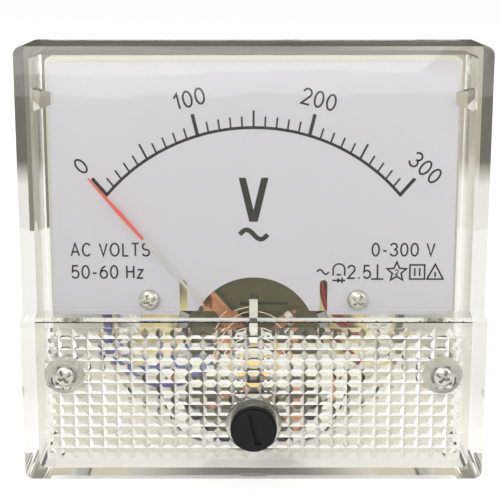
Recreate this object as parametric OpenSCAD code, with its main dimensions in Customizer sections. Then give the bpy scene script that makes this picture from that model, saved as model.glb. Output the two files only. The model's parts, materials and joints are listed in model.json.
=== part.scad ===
// Panel-mounted AC voltmeter with a clear moulded front, a white dial and a core-magnet movement.
// The dial faces -Y, +Z is up. The origin is where the barrel's axis meets the panel.

/* [Face and clear cover] */
// Width of the face
face_w = 64; // [62:1:76]
// Height of the face
face_h = 60; // [60:1:72]
// Corner radius of the face
face_r = 1.2; // [0.6:0.2:2.4]
// Height of the face's centre above the barrel's axis
face_rise = 4; // [3:0.5:5]
// Distance of the window's front from the panel
window_front = 13.5; // [13:0.5:18]
// How far the lower band stands ahead of the window
band_step = 2.5; // [1.5:0.5:4]
// Distance of the step's upper edge below the face's centre
step_drop = 6.3; // [5.5:0.1:7]
// Height of the sloping ledge between window and band
ledge_h = 0.9; // [0.5:0.1:1.5]
// Thickness of the cover's side walls
cover_wall = 1.85; // [1.4:0.05:2.2]
// Thickness of the cover's top and bottom walls
cover_cap_t = 1.2; // [1:0.05:1.5]
// Thickness of the cover's front
cover_front_t = 2; // [1.6:0.1:2.4]
// Height of the two wedge lugs above the face's centre
lug_rise = 22.4; // [20:0.2:24]

/* [Prism texture] */
// Width of one prism
prism_w = 2; // [1.8:0.1:3]
// Height of one prism
prism_h = 1.6; // [1.4:0.1:3]
// Depth of the prisms
prism_depth = 0.25; // [0.15:0.05:0.4]
// Width of the sloping border round a prism's flat
prism_bevel = 0.35; // [0.2:0.05:0.6]

/* [Screws and adjuster on the front] */
// Distance of the cover screws from the face's side edges
cover_screw_inset = 5.8; // [5.4:0.1:6.2]
// Distance of the cover screws below the face's centre
cover_screw_drop = 15.2; // [14:0.2:17]
// Diameter of the cover screws' heads
cover_screw_head_d = 3.3; // [3:0.1:3.6]
// Diameter of the zero adjuster's head
adjuster_d = 6.5; // [6:0.1:7]
// Thickness of the zero adjuster's head
adjuster_head_t = 0.9; // [0.6:0.1:1.4]
// Distance of the zero adjuster below the pivot
adjuster_drop = 7.5; // [7.3:0.1:7.8]
// Offset of the adjuster's pin from its axis
pin_offset = 1.2; // [1:0.05:1.3]

/* [Base] */
// Thickness of the base's flange
flange_t = 3; // [2.6:0.1:3.5]
// Diameter of the barrel
barrel_d = 50; // [50:0.5:52]
// Length of the barrel behind the panel
barrel_len = 27; // [26.5:0.5:34]
// Wall of the barrel
barrel_wall = 2; // [1.6:0.1:2.2]
// Thickness of the barrel's back
back_t = 2.5; // [2:0.1:3]

/* [Dial] */
// Gap between the dial plate and the cover's side walls
dial_side_gap = 1.65; // [1.4:0.05:5]
// Gap between the dial plate's top edge and the cover's top wall
dial_top_gap = 1.5; // [1.2:0.05:4]
// Distance of the dial plate's bottom edge below the face's centre
dial_bottom = 9.4; // [9:0.1:9.8]
// Thickness of the dial plate
dial_t = 0.5; // [0.4:0.05:0.6]
// Distance of the dial's front from the panel
dial_front = 6; // [5.8:0.05:6.1]
// Radius of the dial's arched window
arch_r = 9; // [8.8:0.1:9.2]
// Half the distance between the dial's two narrow slots
slot_x = 10.03; // [9.8:0.01:10.3]
// Width of the narrow slots
slot_w = 1.1; // [0.9:0.1:1.2]
// Half the distance between the dial screws
dial_screw_x = 14.9; // [14.6:0.1:15.2]
// Height of the dial screws above the pivot
dial_screw_rise = 8.5; // [8.2:0.1:8.9]

/* [Movement] */
// Distance of the pivot below the face's centre
pivot_drop = 15; // [14.8:0.1:15.2]
// Angle of the pointer at zero, left of upright
zero_angle = 41; // [38:1:42]
// Radius of the core magnet
core_r = 10.2; // [9.6:0.1:10.3]
// Length of the core magnet
core_len = 11.4; // [10.8:0.1:11.6]
// Thickness of the coil's winding
coil_t = 0.5; // [0.4:0.05:0.55]
// Width of the coil's winding
coil_w = 2.4; // [2:0.1:2.6]
// Length of the pointer from the pivot
pointer_len = 35.1; // [32:0.1:36]
// Length of the pointer's coloured blade
blade_len = 11.2; // [9:0.2:14]
// Thickness of the yoke ring
yoke_t = 2.4; // [2.2:0.1:2.6]

/* [Back of the meter] */
// Distance between the two terminals
terminal_pitch = 26; // [24:0.5:28]
// Thread diameter of the terminals
terminal_d = 4; // [3.5:0.1:4.4]
// Length of the terminals behind the barrel
terminal_len = 13.5; // [12.5:0.5:18]
// Distance of the mounting studs from the flange's edges
stud_edge = 2.8; // [2.7:0.05:3.2]
// Thread diameter of the mounting studs
stud_d = 3; // [2.6:0.1:3.2]
// Length of the mounting studs behind the panel
stud_len = 14; // [10:0.5:18]

/* [Hidden] */
$fn = 64;

// Clearances: between sliding faces, round a press fit, in a shaft's bearing, past a fixed neighbour,
// between the cover and what it closes on, and from the cover's back edge to the panel
slide_gap = 0.2;
press_gap = 0.03;
shaft_gap = 0.05;
clear_gap = 0.3;
parting_gap = 0.05;
skirt_gap = 0.15;
eps = 0.01;

// Places of the main centres
pivot_z = face_rise - pivot_drop;
adjuster_z = pivot_z - adjuster_drop;
cover_screw_x = face_w / 2 - cover_screw_inset;
cover_screw_z = face_rise - cover_screw_drop;
step_z = face_rise - step_drop;

// Depths along Y, from the front to the back
band_y = -window_front - band_step;
window_in_y = -window_front + cover_front_t;
band_in_y = band_y + cover_front_t;
seat_y = -flange_t;
back_y = barrel_len;
back_in_y = barrel_len - back_t;
dial_y = -dial_front;
dial_back_y = dial_y + dial_t;

// Inside of the cover and the base
cavity_w = face_w - 2 * cover_wall;
cavity_h = face_h - 2 * cover_cap_t;
cavity_r = 0.8;
flange_side_gap = 0.85;
flange_top_gap = 1;
flange_w = cavity_w - 2 * flange_side_gap;
flange_h = cavity_h - 2 * flange_top_gap;
stud_x = flange_w / 2 - stud_edge;
stud_z = flange_h / 2 - stud_edge;
barrel_r = barrel_d / 2;
barrel_in_r = barrel_r - barrel_wall;
barrel_edge = 0.8;
deck_t = 1.8;
deck_rise = 6;
dial_w = cavity_w - 2 * dial_side_gap;
dial_top = cavity_h / 2 - dial_top_gap;

// Prism field, as many whole prisms as the inside of the band holds
prism_margin = 0.75;
band_top = step_z - ledge_h;
band_bottom = face_rise - cavity_h / 2;
prism_cols = floor((cavity_w - 2 * prism_margin) / prism_w);
prism_rows = floor((band_top - band_bottom - 2 * prism_margin) / prism_h);

// Cover fasteners
boss_r = 2.75;
screw_hole_r = 1.45;
screw_shank_r = 1.25;
screw_head_t = 1.2;
counterbore_gap = 0.15;
counterbore_r = cover_screw_head_d / 2 + counterbore_gap;
counterbore_depth = 1.3;
screw_seat_y = band_y + counterbore_depth;
adjuster_boss_r = 3.9;
adjuster_boss_h = 1;
adjuster_shank_r = 2.4;
adjuster_pin_r = 0.6;
clip_w = 1.1;
clip_t = 0.5;
clip_opening = 65;
clip_y = band_in_y + adjuster_boss_h + slide_gap;

// Movement, stacked along Y about the pivot
pillar_len = 5.1;
pillar_r = 1.7;
frame_t = 1;
frame_y = dial_back_y + pillar_len;
core_y = frame_y + frame_t;
core_back_y = core_y + core_len;
core_slit_rise = 6;
core_slit_h = 0.45;
coil_end_gap = 0.7;
air_gap = 0.3;
former_t = 0.2;
former_in_r = core_r + air_gap;
winding_in_r = former_in_r + former_t;
coil_out_r = winding_in_r + coil_t;
coil_front_t = 1;
former_front_y = core_y - coil_end_gap;
former_back_y = core_back_y + coil_end_gap;
coil_front_y = former_front_y - former_t - coil_front_t;
coil_back_y = former_back_y + former_t + coil_front_t;
yoke_in_r = coil_out_r + air_gap + 0.1;
yoke_out_r = yoke_in_r + yoke_t;
yoke_len = core_len - 0.4;
yoke_back_y = core_y + yoke_len;
yoke_opening = 12;
frame_hole_r = coil_out_r + air_gap + 0.2;
frame_screw_x = 18.5;
frame_screw_rise = 3.5;
frame_screw_r = 1.1;
frame_screw_head_r = 1.9;
frame_screw_head_t = 1.2;
frame_screw_len = 6;
frame_ear_r = 2.6;
dial_screw_r = 0.75;
dial_screw_head_r = 1.5;
dial_screw_head_t = 0.9;
pillar_edge = 0.5;
room_gap = 0.7;
post_r = 2.3;
deck_hole_r = yoke_out_r + clear_gap;

// Bridges, bearings and springs
bridge_t = 0.8;
bridge_h = 4.4;
bridge_hub_r = 4.2;
front_spring_room = 4.3;
rear_spring_room = 2.2;
front_bridge_y = coil_front_y - front_spring_room;
rear_bridge_y = coil_back_y + rear_spring_room;
bridge_leg_x = frame_hole_r + bridge_t + 0.5;
bridge_foot = 3.2;
bridge_screw_x = bridge_leg_x + bridge_foot / 2;
rear_post_x = (yoke_in_r + yoke_out_r) / 2;
rear_post_r = 1.1;
bridge_screw_r = 0.55;
bridge_screw_head_r = 1.15;
frame_r = bridge_screw_x + bridge_screw_head_r + 0.5;
frame_bottom = bridge_h / 2 + 0.4;
jewel_r = 1.3;
jewel_cup_r = 0.25;
jewel_cup_depth = 0.4;
staff_r = 0.5;
staff_tip_r = jewel_cup_r - shaft_gap;
collet_r = 1.2;
lever_t = 0.4;
lever_y = front_bridge_y - slide_gap - lever_t;
lever_top = 8.65;
lever_w = 1.2;
fork_gap = 0.14;
fork_wall = 0.7;
locknut_t = 0.8;
locknut_r = 2.3;
locknut_y = lever_y - slide_gap - locknut_t;
front_jewel_tip_y = front_bridge_y + bridge_t + 0.5;
rear_jewel_tip_y = rear_bridge_y - 0.6;
spring_t = 0.12;
spring_h = 0.5;
spring_in_r = collet_r + spring_t / 2 + 0.02;
spring_half_turns = 8;
spring_step = 0.71;
spring_end_r = spring_in_r + spring_half_turns * spring_step;
front_spring_y = front_jewel_tip_y + 0.2;
rear_spring_y = coil_back_y + 0.7;

// Pointer
root_t = 0.4;
root_y = coil_front_y - root_t;
root_w = 1;
riser_r = 9.7;
riser_w = 0.6;
pointer_rise = 2.2;
pointer_y = dial_y - pointer_rise;
stem_r = 0.2;
blade_w = 0.56;
blade_widest = 4.6;
tip_w = 0.18;
blade_t = 0.3;
blade_start = pointer_len - blade_len;
balance_r = 7.4;
weight_r = 1;
tail_weight_len = 2.15;
side_weight_len = 0.9;
weight_y = coil_front_y - weight_r;

// Arched window of the dial
arch_rise = 2.8;
window_rise = 6.8;
slot_top = 11.4;

// Electrical pieces
board_t = 1.2;
board_w = terminal_pitch + 9;
board_h = 8;
stud_head_t = 2;
board_y = back_in_y - stud_head_t - board_t;
board_nut_t = 1.8;
terminal_z = -1;
terminal_boss_r = 5.2;
terminal_boss_h = 1.2;
diode_r = 1.2;
diode_len = 4.6;
diode_x = 3.9;
diode_z = 2.1;
diode_standoff = 0.4;
resistor_len = 8.4;
resistor_r = 1.6;
resistor_y = board_y - diode_standoff - 2 * diode_r - clear_gap - resistor_r;
leg_out = 0.7;
lead_r = 0.35;
wire_r = 0.5;

// Back hardware
nut_t = 2.4;
washer_t = 0.6;
bore_gap = 0.15;
lug_t = 0.6;
tongue_w = 3.2;
tongue_len = 10;
tongue_hole_r = 0.8;
clamp_nut_y = back_y + terminal_boss_h;
stud_root = flange_t - 1;

// Routes of the two insulated leads, chosen by hand
blue_route = [
    [-8, board_y - 0.4, -1], [-10.5, 17.5, 1.2], [-14.5, 12, 3.5], [-17.6, 5, 3.2], [-19.6, -0.5, 0.8],
    [-20.9, -4, -3.2], [-20.9, -4.7, -6.6], [-19.4, -5.9, -9.4], [-17, -6.9, -11.4], [-14, -7.4, -12.5],
    [-11, -7.5, -12.4], [-8, -7, -11], [-5.8, front_bridge_y - wire_r - 0.1, -9.6]
];
red_route = [
    [8, board_y - 0.4, 3], [10, 17.5, 4.4], [13.5, 12, 6], [15.4, 5, 6.4], [14.6, -0.5, 5.6],
    [12, -3.6, 4.4], [9.9, -4.45, 2.4], [9.85, -4.45, 0], [10.25, -4.45, -2.6], [11.3, -4.2, -5.2],
    [13.6, -3.2, -7.4], [15.8, frame_y - bridge_t - wire_r - 0.1, -9.3]
];

// Puts a flat shape drawn in X and Z between two depths
module along_y(y0, y1) {
    translate([0, y0, 0]) rotate([-90, 0, 0]) linear_extrude(y1 - y0) mirror([0, 1]) children();
}

module rod(r, y0, y1, x = 0, z = 0) {
    translate([x, y0, z]) rotate([-90, 0, 0]) cylinder(r = r, h = y1 - y0);
}

module hex(r, y0, y1, x = 0, z = 0) {
    translate([x, y0, z]) rotate([-90, 0, 0]) cylinder(r = r, h = y1 - y0, $fn = 6);
}

module rounded(w, h, r) {
    square([w - 2 * r, h], center = true);
    square([w, h - 2 * r], center = true);
    for (x = [-1, 1], z = [-1, 1]) {
        translate([x * (w / 2 - r), z * (h / 2 - r)]) circle(r);
    }
}

module both_sides(x) {
    for (s = [-1, 1]) translate([s * x, 0, 0]) children();
}

// Turns what is drawn for an upright pointer to its place at zero
module at_zero() {
    translate([0, 0, pivot_z]) rotate([0, -zero_angle, 0]) children();
}

module ring(r_in, r_out, y0, y1, x = 0, z = 0) {
    difference() {
        rod(r_out, y0, y1, x, z);
        rod(r_in, y0 - eps, y1 + eps, x, z);
    }
}

// Pan-head screw along Y with its head to the front of the seat
module pan_screw(head_r, head_t, shank_r, seat, tip, recess) {
    difference() {
        union() {
            rod(head_r * 0.8, seat - head_t, seat);
            rod(head_r, seat - head_t * 0.7, seat);
            rod(shank_r, seat, tip);
        }
        for (a = [0, 90]) {
            translate([0, seat - head_t, 0]) rotate([0, a, 0])
                cube([head_r * 1.1, head_t * recess * 2, head_r * 0.22], center = true);
        }
    }
}

// Tube of a wire swept along hand-chosen points
function unit(v) = v / norm(v);
function heading(p, i) = unit(p[min(i + 1, len(p) - 1)] - p[max(i - 1, 0)]);
function across(t) = unit(cross(t, abs(t[2]) < 0.8 ? [0, 0, 1] : [1, 0, 0]));

module wire(points, r) {
    sides = 8;
    n = len(points);
    rings = [for (i = [0 : n - 1]) let (t = heading(points, i), u = across(t), v = cross(t, u))
        for (k = [0 : sides - 1]) points[i] + r * (cos(360 * k / sides) * u + sin(360 * k / sides) * v)];
    walls = [for (i = [0 : n - 2], k = [0 : sides - 1])
        let (a = i * sides, b = a + sides, m = (k + 1) % sides)
        each [[a + k, a + m, b + m], [a + k, b + m, b + k]]];
    start = [[for (k = [sides - 1 : -1 : 0]) k]];
    finish = [[for (k = [0 : sides - 1]) (n - 1) * sides + k]];
    polyhedron(rings, concat(walls, start, finish));
}

// Flat spiral made of half circles, its outer end on +X
module spiral(y0) {
    translate([0, y0, 0]) rotate([-90, 0, 0]) for (k = [0 : spring_half_turns - 1]) {
        translate([k % 2 * spring_step, 0, 0]) rotate([0, 0, k % 2 * 180])
            rotate_extrude(angle = 180)
                translate([spring_in_r + k * spring_step - spring_t / 2, 0]) square([spring_t, spring_h]);
    }
}

// Side section of the cover's outside or inside, drawn with Y across and Z up
module cover_section(front, band_front, top, bottom, back, step) {
    polygon([[back, top], [front, top], [front, step], [band_front, step - ledge_h],
        [band_front, bottom], [back, bottom]]);
}

module extruded_along_x(w) {
    rotate([90, 0, 90]) translate([0, 0, -w / 2]) linear_extrude(w) children();
}

// Strip of equal flat-topped teeth standing on a straight edge
module sawtooth(pitch, count, depth) {
    half = pitch * count / 2;
    polygon(concat(
        [for (i = [0 : count - 1]) let (start = i * pitch - half) each [[start, 0],
            [start + prism_bevel, depth], [start + pitch - prism_bevel, depth]]],
        [[half, 0], [half, -eps], [-half, -eps]]
    ));
}

// Field of rectangular flat-topped prisms on the inside of the band
module prism_field() {
    field_h = prism_h * prism_rows;
    field_w = prism_w * prism_cols;
    translate([0, band_in_y, (band_top + band_bottom) / 2]) intersection() {
        translate([0, 0, -field_h / 2]) linear_extrude(field_h) sawtooth(prism_w, prism_cols, prism_depth);
        rotate([0, 90, 0]) translate([0, 0, -field_w / 2]) linear_extrude(field_w)
            sawtooth(prism_h, prism_rows, prism_depth);
    }
}

module front_cover() {
    top = face_rise + face_h / 2;
    bottom = face_rise - face_h / 2;
    lug_reach = dial_side_gap + 0.8;
    lug_w = 2.6;
    lug_tip_t = 0.6;
    lug_root_t = 2.9;
    color([0.9, 0.93, 0.9, 0.35]) difference() {
        union() {
            difference() {
                intersection() {
                    extruded_along_x(face_w)
                        cover_section(-window_front, band_y, top, bottom, -skirt_gap, step_z);
                    along_y(band_y - 1, -skirt_gap) translate([0, face_rise]) rounded(face_w, face_h, face_r);
                }
                intersection() {
                    extruded_along_x(cavity_w)
                        cover_section(window_in_y, band_in_y, top - cover_cap_t, bottom + cover_cap_t,
                            1, step_z - cover_front_t / 4);
                    along_y(band_y - 1, 1)
                        translate([0, face_rise]) rounded(cavity_w, cavity_h, cavity_r);
                }
            }
            prism_field();
            both_sides(cover_screw_x) rod(boss_r, band_in_y - eps, seat_y - parting_gap, 0, cover_screw_z);
            rod(adjuster_boss_r, band_in_y - eps, band_in_y + adjuster_boss_h, 0, adjuster_z);
            for (s = [-1, 1]) {
                translate([s * (cavity_w / 2 + eps), dial_y - clear_gap, face_rise + lug_rise - lug_w / 2])
                    linear_extrude(lug_w) polygon([[0, 0], [-s * lug_reach, 0],
                        [-s * lug_reach, -lug_tip_t], [0, -lug_root_t]]);
            }
        }
        both_sides(cover_screw_x) {
            rod(screw_hole_r, band_y - 1, seat_y + 1, 0, cover_screw_z);
            rod(counterbore_r, band_y - 1, screw_seat_y, 0, cover_screw_z);
        }
        rod(adjuster_shank_r + shaft_gap, band_y - 1, band_in_y + adjuster_boss_h + 1, 0, adjuster_z);
    }
}

module cover_screws() {
    color("silver") both_sides(cover_screw_x) translate([0, 0, cover_screw_z])
        pan_screw(cover_screw_head_d / 2, screw_head_t, screw_shank_r, screw_seat_y, -0.5, 0.5);
}

module zero_adjuster() {
    head_back = band_y - 0.1;
    head_front = head_back - adjuster_head_t;
    shank_end = clip_y + clip_t + 0.4;
    color([0.06, 0.06, 0.06]) translate([0, 0, adjuster_z]) difference() {
        union() {
            rod(adjuster_d / 2 - 0.3, head_front, head_back);
            rod(adjuster_d / 2, head_front + 0.3, head_back);
            rod(adjuster_shank_r, head_back - eps, shank_end);
            rod(adjuster_pin_r, shank_end - eps, lever_y + lever_t + 0.1, 0, pin_offset);
        }
        translate([0, head_front, 0]) rotate([0, -13, 0]) cube([0.55, 1, 4.4], center = true);
        rod(0.35, head_front - eps, head_front + 0.35, 0.7, -1.8);
    }
}

// Spring clip behind the cover, open at the bottom so that it slides on from above
module adjuster_clip() {
    out_r = adjuster_shank_r + clip_w;
    mouth = 3 * out_r * [sin(clip_opening), -cos(clip_opening)];
    color("silver") along_y(clip_y, clip_y + clip_t) translate([0, adjuster_z]) difference() {
        circle(out_r);
        circle(adjuster_shank_r + press_gap);
        polygon([[0, 0], [-mouth[0], mouth[1]], mouth]);
    }
}

module mounting_stud_places() {
    for (x = [-1, 1], z = [-1, 1]) translate([x * stud_x, 0, face_rise + z * stud_z]) children();
}

module stud_body(gap) {
    rod(stud_d / 2, -eps, stud_len);
    rod(stud_d / 2 + 0.7 + gap, -stud_root - gap, 0);
}

// Room for the movement: the coil's round and, in the barrel's mouth, the frame's outline
module movement_room() {
    rod(coil_out_r + room_gap, seat_y - 1, back_in_y, 0, pivot_z);
    along_y(seat_y - 1, core_y) translate([0, pivot_z]) frame_outline(clear_gap);
}

// Flange that the cover closes over, with a barrel whose deck and posts carry the movement.
// A narrower barrel bulges round the coil, so that the movement keeps its room
module base() {
    color([0.93, 0.9, 0.82]) difference() {
        union() {
            along_y(seat_y, 0) translate([0, face_rise]) rounded(flange_w, flange_h, cavity_r);
            rotate([-90, 0, 0]) rotate_extrude() polygon([[0, -eps], [barrel_r, -eps],
                [barrel_r, back_y - barrel_edge], [barrel_r - barrel_edge, back_y], [0, back_y]]);
            rod(coil_out_r + room_gap + barrel_wall, -eps, back_y - barrel_edge, 0, pivot_z);
            both_sides(terminal_pitch / 2) rod(terminal_boss_r, back_y - eps, clamp_nut_y, 0, terminal_z);
        }
        difference() {
            union() {
                rod(barrel_in_r, seat_y - 1, back_in_y);
                movement_room();
            }
            both_sides(frame_screw_x) rod(post_r, core_y, back_in_y + 1, 0, pivot_z + frame_screw_rise);
            along_y(core_y, core_y + deck_t) difference() {
                translate([-barrel_r, -barrel_r]) square([barrel_d, barrel_r + pivot_z + deck_rise]);
                translate([0, pivot_z]) circle(deck_hole_r);
            }
        }
        both_sides(frame_screw_x)
            rod(frame_screw_r, core_y - 1, core_y + frame_screw_len + 1, 0, pivot_z + frame_screw_rise);
        both_sides(terminal_pitch / 2)
            rod(terminal_d / 2 + shaft_gap, back_in_y - 1, clamp_nut_y + 1, 0, terminal_z);
        both_sides(cover_screw_x) rod(screw_shank_r + press_gap, seat_y - 1, -0.4, 0, cover_screw_z);
        mounting_stud_places() stud_body(press_gap);
    }
}

module dial_plate() {
    bottom = face_rise - dial_bottom;
    top = face_rise + dial_top;
    window_z = pivot_z + window_rise;
    slot_end = pivot_z + slot_top - slot_w / 2;
    color([0.88, 0.87, 0.89]) along_y(dial_y, dial_back_y) difference() {
        translate([-dial_w / 2, bottom]) square([dial_w, top - bottom]);
        translate([-slot_x, bottom - 1]) square([2 * slot_x, window_z - bottom + 1]);
        translate([0, pivot_z + arch_rise]) circle(arch_r);
        for (s = [-1, 1]) {
            translate([s * slot_x - slot_w / 2, bottom - 1]) square([slot_w, slot_end - bottom + 1]);
            translate([s * slot_x, slot_end]) circle(slot_w / 2);
            translate([s * dial_screw_x, pivot_z + dial_screw_rise]) circle(dial_screw_r + 2 * shaft_gap);
        }
    }
}

module dial_screws() {
    color("silver") both_sides(dial_screw_x) translate([0, 0, pivot_z + dial_screw_rise])
        pan_screw(dial_screw_head_r, dial_screw_head_t, dial_screw_r, dial_y, frame_y + frame_t / 2, 0.5);
}

// Pointer with its root on the coil, a riser through the dial's window and a balance cross
module pointer() {
    color([0.85, 0.25, 0.12]) at_zero() union() {
        difference() {
            along_y(root_y, coil_front_y) {
                translate([-root_w / 2, 0]) square([root_w, riser_r + riser_w]);
                translate([-root_w / 2, -balance_r - 1]) square([root_w, balance_r + 1]);
                translate([-balance_r - 1, -root_w / 2]) square([2 * balance_r + 2, root_w]);
                circle(collet_r);
            }
            rod(staff_r + press_gap, root_y - 1, coil_front_y + 1);
        }
        along_y(pointer_y - stem_r, root_y + eps) translate([-root_w / 2, riser_r])
            square([root_w, riser_w]);
        translate([0, pointer_y, riser_r]) cylinder(r = stem_r, h = blade_start - riser_r + 0.6);
        along_y(pointer_y - blade_t / 2, pointer_y + blade_t / 2)
            polygon([[-stem_r, blade_start - 0.6], [stem_r, blade_start - 0.6],
                [blade_w / 2, blade_start + blade_widest], [tip_w / 2, pointer_len],
                [-tip_w / 2, pointer_len], [-blade_w / 2, blade_start + blade_widest]]);
    }
}

// Rectangular ring round the core, drawn for an upright pointer
module coil_loop(in_r, out_r, in_front, in_back, out_front, out_back, width, corner) {
    rotate([0, -90, 0]) translate([0, 0, -width / 2]) linear_extrude(width) difference() {
        translate([0, (out_front + out_back) / 2]) rounded(2 * out_r, out_back - out_front, corner);
        translate([-in_r, in_front]) square([2 * in_r, in_back - in_front]);
    }
}

module moving_coil() {
    color([0.72, 0.45, 0.2]) at_zero()
        coil_loop(winding_in_r, coil_out_r, former_front_y - former_t, former_back_y + former_t,
            coil_front_y, coil_back_y, coil_w, 0.5);
}

module coil_former() {
    color([0.25, 0.35, 0.35]) at_zero()
        coil_loop(former_in_r, winding_in_r, former_front_y, former_back_y,
            former_front_y - former_t, former_back_y + former_t, coil_w + 0.3, 0.1);
}

module pivot_staffs() {
    front_tip = front_jewel_tip_y - jewel_cup_depth + 0.1;
    rear_tip = rear_jewel_tip_y + jewel_cup_depth - 0.1;
    color("silver") at_zero() {
        rod(staff_r, front_jewel_tip_y + 0.1, coil_front_y);
        rod(staff_tip_r, front_tip, front_jewel_tip_y + 0.1 + eps);
        rod(collet_r, front_spring_y, front_spring_y + spring_h);
        rod(staff_r, coil_back_y, rear_jewel_tip_y - 0.1);
        rod(staff_tip_r, rear_jewel_tip_y - 0.1 - eps, rear_tip);
        rod(collet_r, rear_spring_y, rear_spring_y + spring_h);
    }
}

// Small weights crimped on the three arms of the pointer's balance cross
module balance_weights() {
    color("goldenrod") at_zero() for (a = [90, 180, 270]) {
        length = a == 180 ? tail_weight_len : side_weight_len;
        rotate([0, a, 0]) translate([0, 0, balance_r - length]) difference() {
            translate([0, weight_y, 0]) cylinder(r = weight_r, h = length);
            translate([-root_w / 2 - press_gap, root_y - press_gap, -1])
                cube([root_w + 2 * press_gap, root_t + 1, length + 2]);
        }
    }
}

module front_hairspring() {
    color("gold") translate([0, 0, pivot_z]) rotate([0, -90, 0]) spiral(front_spring_y);
}

module rear_hairspring() {
    color("gold") translate([0, 0, pivot_z]) spiral(rear_spring_y);
}

// Lever on the front bearing: a tab above holds the spring's end, the fork below holds the adjuster's pin
module zero_lever() {
    fork_w = adjuster_pin_r + fork_gap + fork_wall;
    pin_drop = adjuster_drop - pin_offset;
    fork_end = pin_drop + adjuster_pin_r + 0.5;
    tab_in = spring_end_r + spring_t / 2 + 0.02;
    color([0.92, 0.92, 0.9]) translate([0, 0, pivot_z]) {
        along_y(lever_y, lever_y + lever_t) difference() {
            union() {
                circle(jewel_r + 1);
                translate([-lever_w / 2, 0]) square([lever_w, lever_top]);
                translate([-fork_w, -fork_end]) square([2 * fork_w, fork_end - jewel_r - 0.6]);
            }
            circle(jewel_r + shaft_gap);
            translate([-adjuster_pin_r - fork_gap, -fork_end - 1])
                square([2 * (adjuster_pin_r + fork_gap), fork_end - pin_drop + adjuster_pin_r + 1.9]);
        }
        along_y(lever_y + lever_t - eps, front_spring_y + spring_h) translate([-lever_w / 2, tab_in])
            square([lever_w, lever_top - tab_in]);
    }
}

module front_bridge() {
    color([0.62, 0.58, 0.38]) translate([0, 0, pivot_z]) difference() {
        union() {
            translate([0, 0, -bridge_h / 2]) linear_extrude(bridge_h) {
                translate([-bridge_leg_x, front_bridge_y]) square([2 * bridge_leg_x, bridge_t]);
                for (s = [0, 1]) mirror([s, 0]) {
                    translate([bridge_leg_x - bridge_t, front_bridge_y])
                        square([bridge_t, frame_y - front_bridge_y]);
                    translate([bridge_leg_x - bridge_t, frame_y - bridge_t])
                        square([bridge_foot + bridge_t, bridge_t]);
                }
            }
            rod(bridge_hub_r, front_bridge_y, front_bridge_y + bridge_t);
        }
        rod(jewel_r + press_gap, front_bridge_y - 1, front_bridge_y + bridge_t + 1);
        both_sides(bridge_screw_x) rod(bridge_screw_r + press_gap, frame_y - 2, frame_y + 1);
    }
}

module rear_bridge() {
    pin_r = 0.4;
    color([0.62, 0.58, 0.38]) translate([0, 0, pivot_z]) difference() {
        union() {
            along_y(rear_bridge_y, rear_bridge_y + bridge_t) {
                square([2 * rear_post_x, bridge_h], center = true);
                both_sides(rear_post_x) circle(bridge_h / 2);
            }
            rod(pin_r, rear_spring_y, rear_bridge_y + eps, spring_end_r + spring_t / 2 + pin_r + 0.02);
        }
        rod(jewel_r + press_gap, rear_bridge_y - 1, rear_bridge_y + bridge_t + 1);
        both_sides(rear_post_x) rod(bridge_screw_r + press_gap, rear_bridge_y - 1, rear_bridge_y + 2);
    }
}

// Slotted bearing screw with a jewel cup in its tip
module jewel_screw(head_y, tip_y) {
    toward = tip_y > head_y ? 1 : -1;
    translate([0, 0, pivot_z]) difference() {
        rod(jewel_r, min(head_y, tip_y), max(head_y, tip_y));
        translate([0, tip_y, 0]) rotate([toward * 90, 0, 0]) translate([0, 0, -eps])
            cylinder(r = jewel_cup_r, h = jewel_cup_depth + eps);
        translate([0, head_y, 0]) cube([3 * jewel_r, 0.8, 0.4], center = true);
    }
}

module front_jewel_screw() {
    color("gold") jewel_screw(locknut_y - 0.5, front_jewel_tip_y);
}

module rear_jewel_screw() {
    color("gold") jewel_screw(rear_bridge_y + bridge_t + locknut_t + 0.5, rear_jewel_tip_y);
}

module jewel_locknuts() {
    rear_nut_y = rear_bridge_y + bridge_t;
    color("gold") translate([0, 0, pivot_z]) for (y = [locknut_y, rear_nut_y]) difference() {
        hex(locknut_r, y, y + locknut_t);
        rod(jewel_r + press_gap, y - 1, y + locknut_t + 1);
    }
}

module bridge_screws() {
    color("silver") translate([0, 0, pivot_z]) {
        both_sides(bridge_screw_x)
            pan_screw(bridge_screw_head_r, 0.7, bridge_screw_r, frame_y - bridge_t, frame_y + frame_t, 0.4);
        both_sides(rear_post_x) mirror([0, 1, 0])
            pan_screw(bridge_screw_head_r, 0.7, bridge_screw_r, -rear_bridge_y - bridge_t,
                1.5 - rear_bridge_y, 0.4);
    }
}

module core_magnet() {
    color([0.47, 0.45, 0.31]) difference() {
        rod(core_r, core_y, core_back_y, 0, pivot_z);
        translate([-2, core_y - 1, pivot_z + core_slit_rise]) cube([7.1, 2, core_slit_h]);
    }
}

// Cast blocks that carry the core inside the yoke, on either side of the coil's sweep
module core_supports() {
    spread = 22;
    reach = yoke_in_r * 2;
    color([0.6, 0.6, 0.6]) translate([0, 0, pivot_z]) along_y(core_y, yoke_back_y) intersection() {
        difference() {
            circle(yoke_in_r - press_gap);
            circle(core_r + press_gap);
        }
        for (s = [-1, 1]) {
            polygon([[0, 0], s * reach * [cos(spread), sin(spread)],
                s * reach * [cos(spread), -sin(spread)]]);
        }
    }
}

// Iron ring round the coil, open at the bottom where the barrel's wall is nearest
module yoke_ring() {
    color([0.62, 0.62, 0.6]) difference() {
        union() {
            intersection() {
                ring(yoke_in_r, yoke_out_r, core_y, yoke_back_y, 0, pivot_z);
                rod(barrel_in_r - clear_gap, core_y - 1, yoke_back_y + 1);
            }
            both_sides(rear_post_x) rod(rear_post_r, yoke_back_y - eps, rear_bridge_y, 0, pivot_z);
        }
        translate([-yoke_opening / 2, core_y - 1, pivot_z - 2 * yoke_out_r])
            cube([yoke_opening, yoke_len + 2, 2 * yoke_out_r]);
        both_sides(rear_post_x)
            rod(bridge_screw_r + press_gap, rear_bridge_y - 2, rear_bridge_y + 1, 0, pivot_z);
    }
}

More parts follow.
